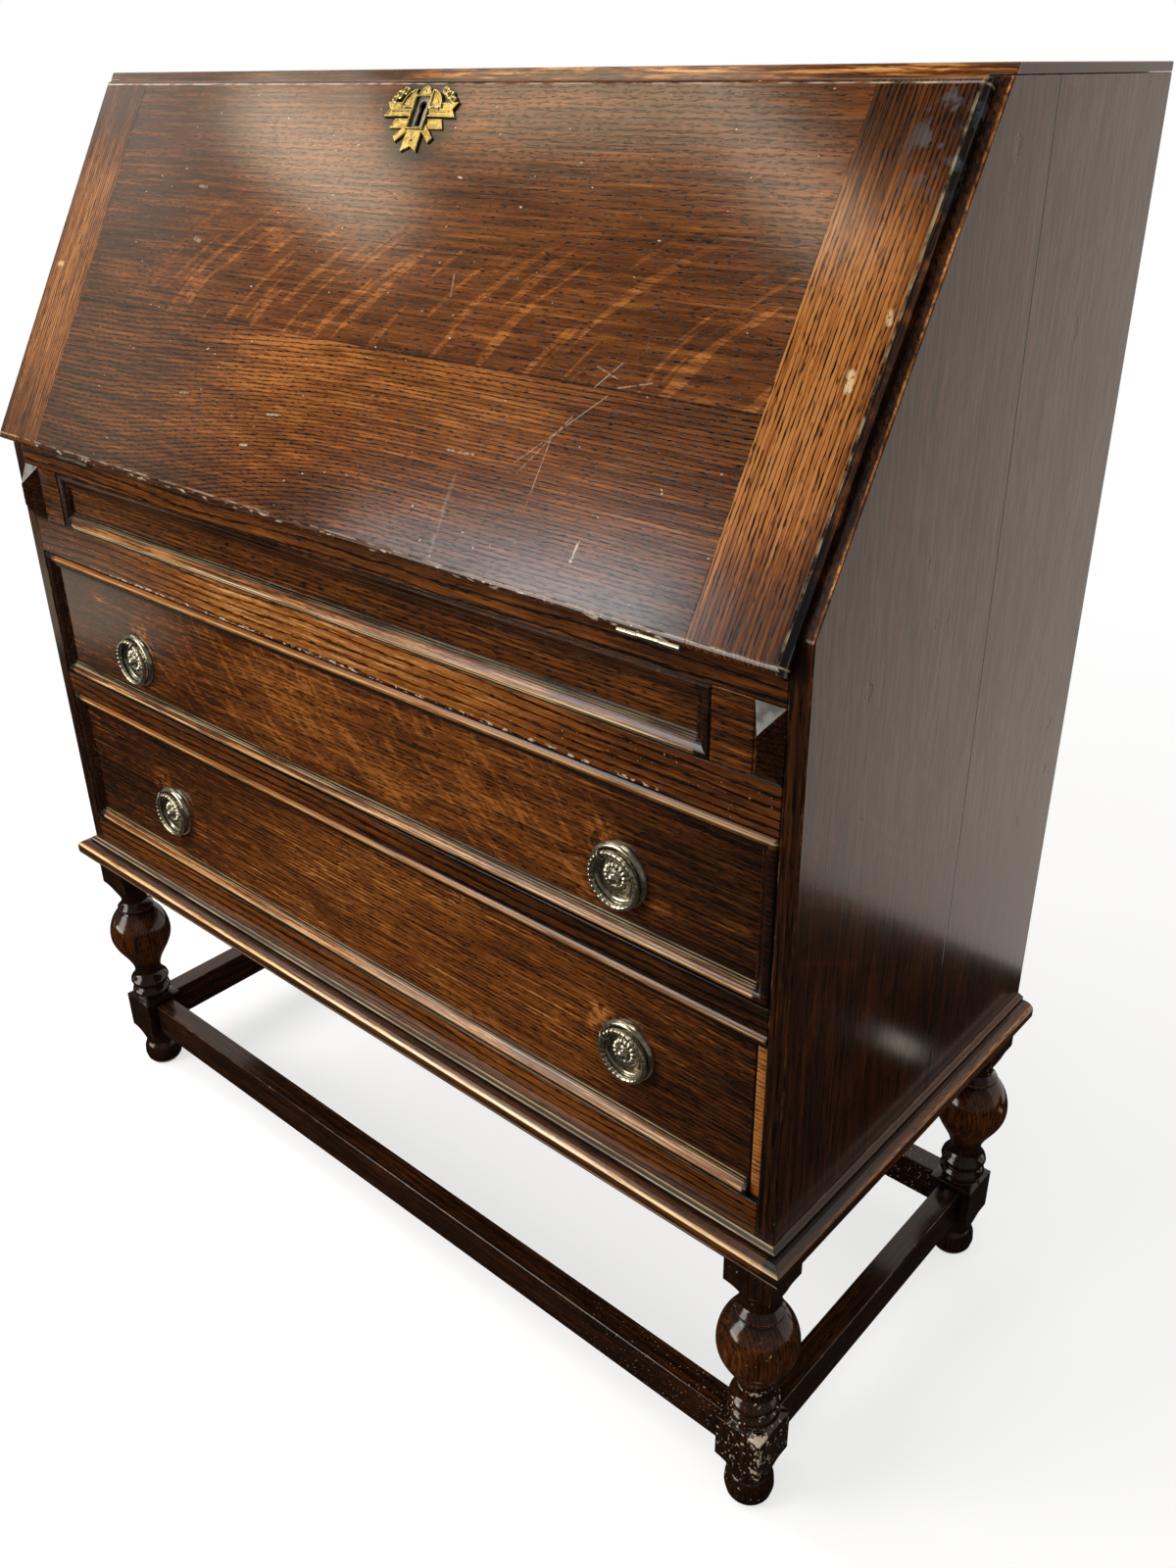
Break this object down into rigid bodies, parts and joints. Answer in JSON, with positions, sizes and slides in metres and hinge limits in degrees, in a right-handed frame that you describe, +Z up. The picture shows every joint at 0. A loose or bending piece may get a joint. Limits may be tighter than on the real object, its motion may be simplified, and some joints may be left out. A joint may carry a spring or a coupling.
{
  "type": "drop-front bureau",
  "caption": "Slope-front oak bureau: hinged fall on pull-out lopers, moulded drawers with ring pulls, pigeonholes inside, on turned bulb legs joined by stretchers.",
  "frame": {"origin": "middle of the bounding box on the floor", "axes": "+Z up, the front faces -Y, +X is to the right as seen from the front"},
  "size_m": [0.947, 0.4256, 1.0707],
  "materials": {
    "case_oak": "dark stained oak, satin varnish",
    "fall_oak": "dark stained quarter-sawn oak, polished",
    "drawer_oak": "dark stained oak, satin varnish",
    "moulding_oak": "dark stained oak, worn to gold on the ridges",
    "leg_oak": "dark stained oak, glossy on the turning",
    "inside_wood": "plain unstained wood",
    "brass": "old polished brass",
    "aged_brass": "dark patinated brass, rubbed on the high spots",
    "steel": "dull filed steel"
  },
  "bodies": {
    "carcass": {"side_left": "case_oak", "side_right": "case_oak", "top_board": "case_oak", "back_panel": "case_oak", "bottom_board": "case_oak", "writing_bed": "case_oak", "base_rail": "case_oak", "drawer_divider": "case_oak", "frieze_rail": "case_oak", "frieze_front": "case_oak", "frieze_moulding": "moulding_oak", "loper_runner_left": "inside_wood", "loper_runner_right": "inside_wood", "lower_dust_board": "inside_wood", "pigeonhole_shelf": "inside_wood", "pigeonhole_divider_left": "inside_wood", "pigeonhole_divider_right": "inside_wood", "base_moulding_front": "moulding_oak", "base_moulding_left": "moulding_oak", "base_moulding_right": "moulding_oak", "leg_front_left": "leg_oak", "leg_front_right": "leg_oak", "leg_back_left": "leg_oak", "leg_back_right": "leg_oak", "stretcher_front": "leg_oak", "stretcher_back": "leg_oak", "stretcher_left": "leg_oak", "stretcher_right": "leg_oak", "hinge_left_bed_leaf": "brass", "hinge_right_bed_leaf": "brass"},
    "fall": {"fall_panel": "fall_oak", "fall_cleat_left": "fall_oak", "fall_cleat_right": "fall_oak", "escutcheon": "brass", "lock_case": "brass", "hinge_left_fall_leaf": "brass", "hinge_right_fall_leaf": "brass"},
    "lock_bolt": {"lock_bolt": "steel"},
    "loper_left": {"loper_left": "case_oak"},
    "loper_right": {"loper_right": "case_oak"},
    "drawer_upper": {"drawer_upper_front": "drawer_oak", "drawer_upper_moulding": "moulding_oak", "drawer_upper_side_left": "inside_wood", "drawer_upper_side_right": "inside_wood", "drawer_upper_bottom": "inside_wood", "drawer_upper_back": "inside_wood", "pull_upper_left_plate": "aged_brass", "pull_upper_right_plate": "aged_brass"},
    "drawer_lower": {"drawer_lower_front": "drawer_oak", "drawer_lower_moulding": "moulding_oak", "drawer_lower_side_left": "inside_wood", "drawer_lower_side_right": "inside_wood", "drawer_lower_bottom": "inside_wood", "drawer_lower_back": "inside_wood", "pull_lower_left_plate": "aged_brass", "pull_lower_right_plate": "aged_brass"},
    "ring_upper_left": {"pull_upper_left_ring": "aged_brass"},
    "ring_upper_right": {"pull_upper_right_ring": "aged_brass"},
    "ring_lower_left": {"pull_lower_left_ring": "aged_brass"},
    "ring_lower_right": {"pull_lower_right_ring": "aged_brass"}
  },
  "joints": [
    {"name": "fall_hinge", "type": "hinge", "parent": "carcass", "child": "fall", "pos_m": [0, -0.19868, 0.756], "axis": [1, 0, 0], "range_deg": [0, 120.5]},
    {"name": "lock_bolt_slide", "type": "slide", "parent": "fall", "child": "lock_bolt", "axis": [0, 0.5075, 0.8616], "range_m": [0, 0.008]},
    {"name": "loper_left_slide", "type": "slide", "parent": "carcass", "child": "loper_left", "axis": [0, -1, 0], "range_m": [0, 0.23]},
    {"name": "loper_right_slide", "type": "slide", "parent": "carcass", "child": "loper_right", "axis": [0, -1, 0], "range_m": [0, 0.23]},
    {"name": "drawer_upper_slide", "type": "slide", "parent": "carcass", "child": "drawer_upper", "axis": [0, -1, 0], "range_m": [0, 0.26]},
    {"name": "drawer_lower_slide", "type": "slide", "parent": "carcass", "child": "drawer_lower", "axis": [0, -1, 0], "range_m": [0, 0.26]},
    {"name": "ring_upper_left_swing", "type": "hinge", "parent": "drawer_upper", "child": "ring_upper_left", "pos_m": [-0.29649, -0.19758, 0.5835], "axis": [-0.9135, 0, 0.4067], "range_deg": [0, 95]},
    {"name": "ring_upper_right_swing", "type": "hinge", "parent": "drawer_upper", "child": "ring_upper_right", "pos_m": [0.29706, -0.19758, 0.58321], "axis": [-0.848, 0, -0.5299], "range_deg": [0, 95]},
    {"name": "ring_lower_left_swing", "type": "hinge", "parent": "drawer_lower", "child": "ring_lower_left", "pos_m": [-0.29335, -0.19758, 0.42206], "axis": [-0.866, 0, -0.5], "range_deg": [0, 95]},
    {"name": "ring_lower_right_swing", "type": "hinge", "parent": "drawer_lower", "child": "ring_lower_right", "pos_m": [0.29879, -0.19758, 0.42494], "axis": [-0.5299, 0, -0.848], "range_deg": [0, 95]}
  ]
}
